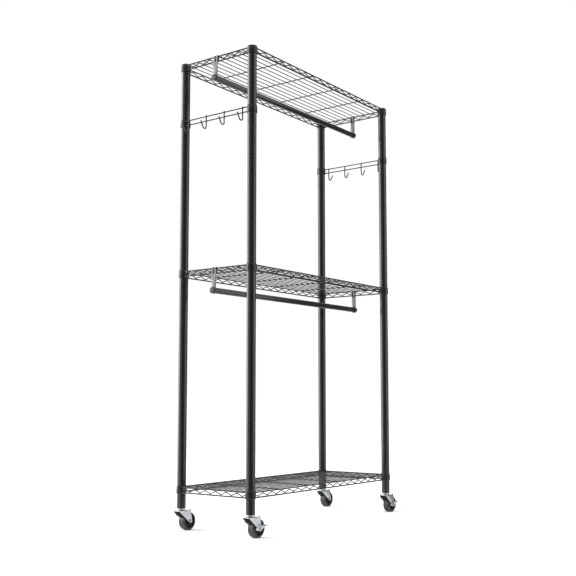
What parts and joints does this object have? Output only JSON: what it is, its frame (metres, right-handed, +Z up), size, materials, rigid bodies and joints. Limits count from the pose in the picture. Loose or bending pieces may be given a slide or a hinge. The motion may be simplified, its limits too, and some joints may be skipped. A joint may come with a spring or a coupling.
{
  "type": "rolling clothes rack",
  "caption": "Rolling clothes rack: ringed steel posts on swivel casters carry welded wire shelves, hanging rods below them and side rails with hooks.",
  "frame": {"origin": "on the floor, at the centre of the rack's overall footprint", "axes": "+Z up, +X along the long side, the front is at -Y"},
  "size_m": [1.1754, 0.435, 2.008],
  "materials": {
    "coated_post": "black powder coat on ringed steel tube, satin",
    "coated_wire": "black powder coat on welded steel wire, satin",
    "coated_rod": "black powder coat on steel tube, satin",
    "coated_strap": "black powder coat on pressed steel strap, satin",
    "sleeve_plastic": "moulded black plastic",
    "guard_plastic": "moulded black plastic",
    "wheel_rubber": "dark moulded rubber, slightly worn to a sheen",
    "zinc_steel": "bright zinc plating on pressed steel"
  },
  "bodies": {
    "frame": {"post_front_left": "coated_post", "post_front_right": "coated_post", "post_back_left": "coated_post", "post_back_right": "coated_post", "top_shelf": "coated_wire", "top_sleeve_front_left": "sleeve_plastic", "top_sleeve_front_right": "sleeve_plastic", "top_sleeve_back_left": "sleeve_plastic", "top_sleeve_back_right": "sleeve_plastic", "middle_shelf": "coated_wire", "middle_sleeve_front_left": "sleeve_plastic", "middle_sleeve_front_right": "sleeve_plastic", "middle_sleeve_back_left": "sleeve_plastic", "middle_sleeve_back_right": "sleeve_plastic", "bottom_shelf": "coated_wire", "bottom_sleeve_front_left": "sleeve_plastic", "bottom_sleeve_front_right": "sleeve_plastic", "bottom_sleeve_back_left": "sleeve_plastic", "bottom_sleeve_back_right": "sleeve_plastic", "left_hook_rail": "coated_wire", "right_hook_rail": "coated_wire", "rail_sleeve_front_left": "sleeve_plastic", "rail_sleeve_front_right": "sleeve_plastic", "rail_sleeve_back_left": "sleeve_plastic", "rail_sleeve_back_right": "sleeve_plastic", "upper_rod": "coated_rod", "upper_rod_bracket_left": "coated_strap", "upper_rod_cap_left": "sleeve_plastic", "upper_rod_bracket_right": "coated_strap", "upper_rod_cap_right": "sleeve_plastic", "lower_rod": "coated_rod", "lower_rod_bracket_left": "coated_strap", "lower_rod_cap_left": "sleeve_plastic", "lower_rod_bracket_right": "coated_strap", "lower_rod_cap_right": "sleeve_plastic", "stem_front_left": "zinc_steel", "stem_front_right": "zinc_steel", "stem_back_left": "zinc_steel", "stem_back_right": "zinc_steel"},
    "caster_front_left": {"fork_front_left": "zinc_steel", "toe_guard_front_left": "guard_plastic", "axle_front_left": "zinc_steel"},
    "wheel_body_front_left": {"wheel_front_left": "wheel_rubber"},
    "lever_front_left": {"brake_lever_front_left": "zinc_steel"},
    "caster_front_right": {"fork_front_right": "zinc_steel", "toe_guard_front_right": "guard_plastic", "axle_front_right": "zinc_steel"},
    "wheel_body_front_right": {"wheel_front_right": "wheel_rubber"},
    "lever_front_right": {"brake_lever_front_right": "zinc_steel"},
    "caster_back_left": {"fork_back_left": "zinc_steel", "toe_guard_back_left": "guard_plastic", "axle_back_left": "zinc_steel"},
    "wheel_body_back_left": {"wheel_back_left": "wheel_rubber"},
    "caster_back_right": {"fork_back_right": "zinc_steel", "toe_guard_back_right": "guard_plastic", "axle_back_right": "zinc_steel"},
    "wheel_body_back_right": {"wheel_back_right": "wheel_rubber"}
  },
  "joints": [
    {"name": "swivel_front_left", "type": "hinge", "parent": "frame", "child": "caster_front_left", "pos_m": [-0.53478, -0.1815, 0.0825], "axis": [0, 0, 1], "continuous": true},
    {"name": "roll_front_left", "type": "hinge", "parent": "caster_front_left", "child": "wheel_body_front_left", "pos_m": [-0.49778, -0.1815, 0.0375], "axis": [0, 1, 0], "continuous": true},
    {"name": "brake_front_left", "type": "hinge", "parent": "caster_front_left", "child": "lever_front_left", "pos_m": [-0.49778, -0.1815, 0.0375], "axis": [0, 1, 0], "range_deg": [0, 18]},
    {"name": "swivel_front_right", "type": "hinge", "parent": "frame", "child": "caster_front_right", "pos_m": [0.51322, -0.1815, 0.0825], "axis": [0, 0, 1], "continuous": true},
    {"name": "roll_front_right", "type": "hinge", "parent": "caster_front_right", "child": "wheel_body_front_right", "pos_m": [0.55022, -0.1815, 0.0375], "axis": [0, 1, 0], "continuous": true},
    {"name": "brake_front_right", "type": "hinge", "parent": "caster_front_right", "child": "lever_front_right", "pos_m": [0.55022, -0.1815, 0.0375], "axis": [0, 1, 0], "range_deg": [0, 18]},
    {"name": "swivel_back_left", "type": "hinge", "parent": "frame", "child": "caster_back_left", "pos_m": [-0.53478, 0.1905, 0.0825], "axis": [0, 0, 1], "continuous": true},
    {"name": "roll_back_left", "type": "hinge", "parent": "caster_back_left", "child": "wheel_body_back_left", "pos_m": [-0.49778, 0.1905, 0.0375], "axis": [0, 1, 0], "continuous": true},
    {"name": "swivel_back_right", "type": "hinge", "parent": "frame", "child": "caster_back_right", "pos_m": [0.51322, 0.1905, 0.0825], "axis": [0, 0, 1], "continuous": true},
    {"name": "roll_back_right", "type": "hinge", "parent": "caster_back_right", "child": "wheel_body_back_right", "pos_m": [0.55022, 0.1905, 0.0375], "axis": [0, 1, 0], "continuous": true}
  ]
}
